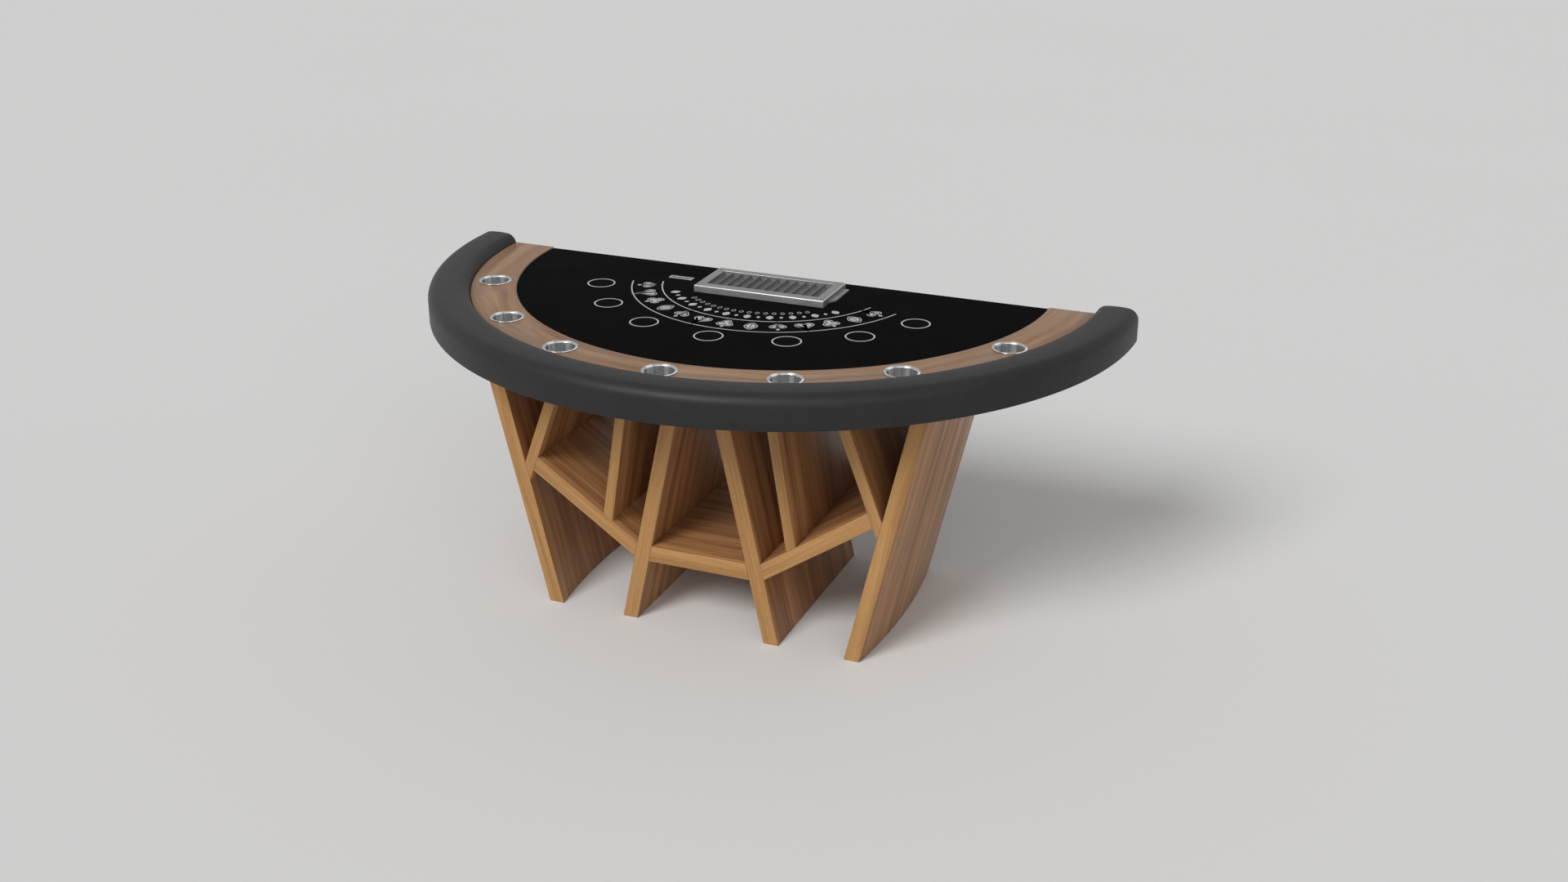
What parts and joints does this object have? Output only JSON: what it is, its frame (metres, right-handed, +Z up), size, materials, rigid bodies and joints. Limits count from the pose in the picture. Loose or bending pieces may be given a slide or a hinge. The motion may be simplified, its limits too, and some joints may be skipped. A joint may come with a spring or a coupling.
{
  "type": "blackjack table",
  "caption": "Half-round card table with a padded armrest, timber track, lift-out metal cups, chip tray and drop slot, on a base of leaning panels.",
  "frame": {"origin": "on the floor, under the middle of the table's overall width and depth", "axes": "+Z up; -Y towards the players; +Y towards the dealer's straight edge; +X to the right seen from the players' side"},
  "size_m": [2.236, 1.1328, 0.947],
  "materials": {
    "base_timber": "clear satin lacquer over straight-grained panels",
    "track_timber": "clear satin lacquer",
    "board": "unfinished plywood",
    "fastener_steel": "zinc plated",
    "foam": "closed-cell foam sheet",
    "felt": "short-pile wool cloth",
    "padding": "matt vinyl over foam",
    "cup_metal": "polished stainless steel",
    "tray_metal": "satin grey coating",
    "tray_plastic": "moulded grey plastic",
    "slot_metal": "satin"
  },
  "bodies": {
    "table": {"outer_leg_left": "base_timber", "outer_leg_right": "base_timber", "inner_leg_left": "base_timber", "inner_leg_right": "base_timber", "strut_left": "base_timber", "strut_right": "base_timber", "side_shelf_left": "base_timber", "side_shelf_right": "base_timber", "centre_shelf": "base_timber", "divider_left": "base_timber", "divider_right": "base_timber", "outer_cleat_left": "board", "outer_cleat_right": "board", "inner_cleat_left": "board", "inner_cleat_right": "board", "deck": "board", "playing_board": "board", "armrest_rail": "board", "armrest_apron": "board", "race_track": "track_timber", "cleat_screws": "fastener_steel", "armrest_bolts": "fastener_steel", "foam_underlay": "foam", "felt_cloth": "felt", "armrest_padding": "padding", "drop_slot_plate": "slot_metal"},
    "cup_holder_1": {"cup_holder_1": "cup_metal"},
    "cup_holder_2": {"cup_holder_2": "cup_metal"},
    "cup_holder_3": {"cup_holder_3": "cup_metal"},
    "cup_holder_4": {"cup_holder_4": "cup_metal"},
    "cup_holder_5": {"cup_holder_5": "cup_metal"},
    "cup_holder_6": {"cup_holder_6": "cup_metal"},
    "cup_holder_7": {"cup_holder_7": "cup_metal"},
    "chip_tray": {"chip_tray_frame": "tray_metal", "chip_tray_tubes": "tray_plastic"}
  },
  "joints": [
    {"name": "cup_lift_1", "type": "slide", "parent": "table", "child": "cup_holder_1", "axis": [0, 0, 1], "range_m": [0, 0.1]},
    {"name": "cup_lift_2", "type": "slide", "parent": "table", "child": "cup_holder_2", "axis": [0, 0, 1], "range_m": [0, 0.1]},
    {"name": "cup_lift_3", "type": "slide", "parent": "table", "child": "cup_holder_3", "axis": [0, 0, 1], "range_m": [0, 0.1]},
    {"name": "cup_lift_4", "type": "slide", "parent": "table", "child": "cup_holder_4", "axis": [0, 0, 1], "range_m": [0, 0.1]},
    {"name": "cup_lift_5", "type": "slide", "parent": "table", "child": "cup_holder_5", "axis": [0, 0, 1], "range_m": [0, 0.1]},
    {"name": "cup_lift_6", "type": "slide", "parent": "table", "child": "cup_holder_6", "axis": [0, 0, 1], "range_m": [0, 0.1]},
    {"name": "cup_lift_7", "type": "slide", "parent": "table", "child": "cup_holder_7", "axis": [0, 0, 1], "range_m": [0, 0.1]},
    {"name": "tray_lift", "type": "slide", "parent": "table", "child": "chip_tray", "axis": [0, 0, 1], "range_m": [0, 0.08]}
  ]
}
